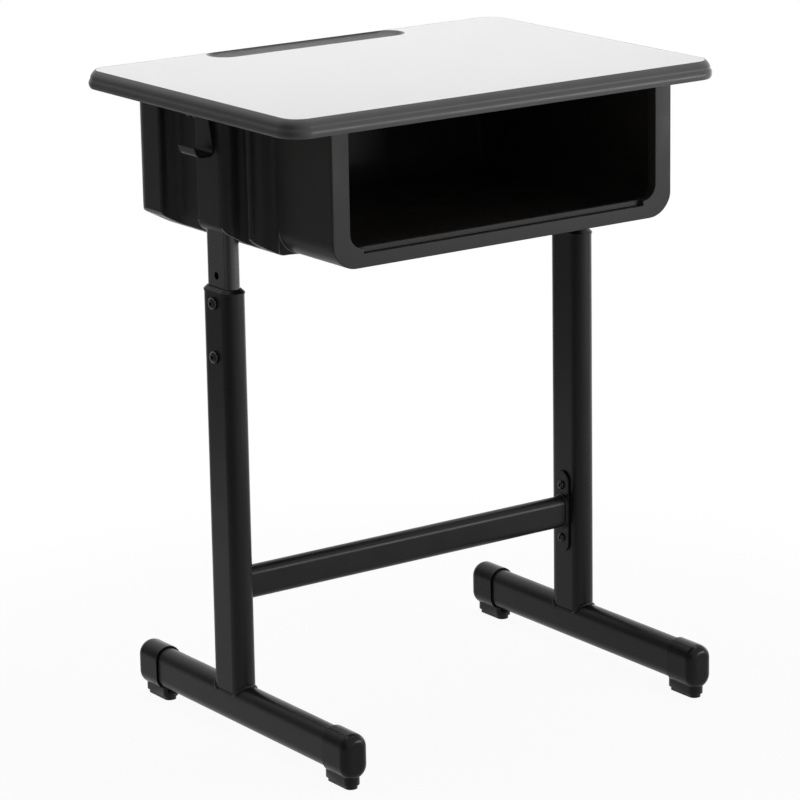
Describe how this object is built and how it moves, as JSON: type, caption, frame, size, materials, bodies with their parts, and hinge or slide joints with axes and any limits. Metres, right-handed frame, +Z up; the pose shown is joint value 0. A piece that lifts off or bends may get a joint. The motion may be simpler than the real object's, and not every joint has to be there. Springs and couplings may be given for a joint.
{
  "type": "student desk",
  "caption": "Student desk: edged laminate top with a pencil groove and an open moulded book box, on a height-adjustable pedestal frame with capped feet and bag hooks.",
  "frame": {"origin": "on the floor, under the middle of the desk's bounding box", "axes": "+X to the sitter's right, -Y towards the sitter, +Z up"},
  "size_m": [0.606, 0.4724, 0.768],
  "materials": {
    "grey_laminate": "satin",
    "grey_edging": "fine moulded grain",
    "core_wood": "raw board",
    "book_box_plastic": "fine moulded grain",
    "black_frame": "satin powder coat",
    "foot_cap_plastic": "satin",
    "bush_plastic": "satin",
    "black_fastener": "black oxide",
    "plain_steel": "zinc plated"
  },
  "bodies": {
    "base": {"left_column": "black_frame", "right_column": "black_frame", "left_collar": "bush_plastic", "right_collar": "bush_plastic", "left_nut_plate": "plain_steel", "right_nut_plate": "plain_steel", "left_foot": "black_frame", "right_foot": "black_frame", "left_front_cap": "foot_cap_plastic", "left_back_cap": "foot_cap_plastic", "right_front_cap": "foot_cap_plastic", "right_back_cap": "foot_cap_plastic", "crossbar": "black_frame", "left_crossbar_plate": "black_frame", "right_crossbar_plate": "black_frame", "crossbar_bolts": "black_fastener", "crossbar_nuts": "plain_steel"},
    "top_unit": {"edging": "grey_edging", "laminate": "grey_laminate", "core_board": "core_wood", "book_box": "book_box_plastic", "plate_screws": "black_fastener", "box_screws": "black_fastener", "hook_screws": "black_fastener", "right_bag_hook": "black_frame", "left_bag_hook": "black_frame", "left_upper_tube": "black_frame", "right_upper_tube": "black_frame", "left_tube_guide": "bush_plastic", "right_tube_guide": "bush_plastic", "left_weld_plate": "black_frame", "right_weld_plate": "black_frame"},
    "left_upper_lock_bolt": {"left_upper_lock_bolt": "black_fastener"},
    "left_lower_lock_bolt": {"left_lower_lock_bolt": "black_fastener"},
    "right_upper_lock_bolt": {"right_upper_lock_bolt": "black_fastener"},
    "right_lower_lock_bolt": {"right_lower_lock_bolt": "black_fastener"}
  },
  "joints": [
    {"name": "top_height", "type": "slide", "parent": "base", "child": "top_unit", "axis": [0, 0, 1], "range_m": [-0.03175, 0.0635]},
    {"name": "left_upper_lock_bolt_travel", "type": "slide", "parent": "base", "child": "left_upper_lock_bolt", "axis": [-1, 0, 0], "range_m": [0, 0.004]},
    {"name": "left_lower_lock_bolt_travel", "type": "slide", "parent": "base", "child": "left_lower_lock_bolt", "axis": [-1, 0, 0], "range_m": [0, 0.004]},
    {"name": "right_upper_lock_bolt_travel", "type": "slide", "parent": "base", "child": "right_upper_lock_bolt", "axis": [1, 0, 0], "range_m": [0, 0.004]},
    {"name": "right_lower_lock_bolt_travel", "type": "slide", "parent": "base", "child": "right_lower_lock_bolt", "axis": [1, 0, 0], "range_m": [0, 0.004]}
  ]
}
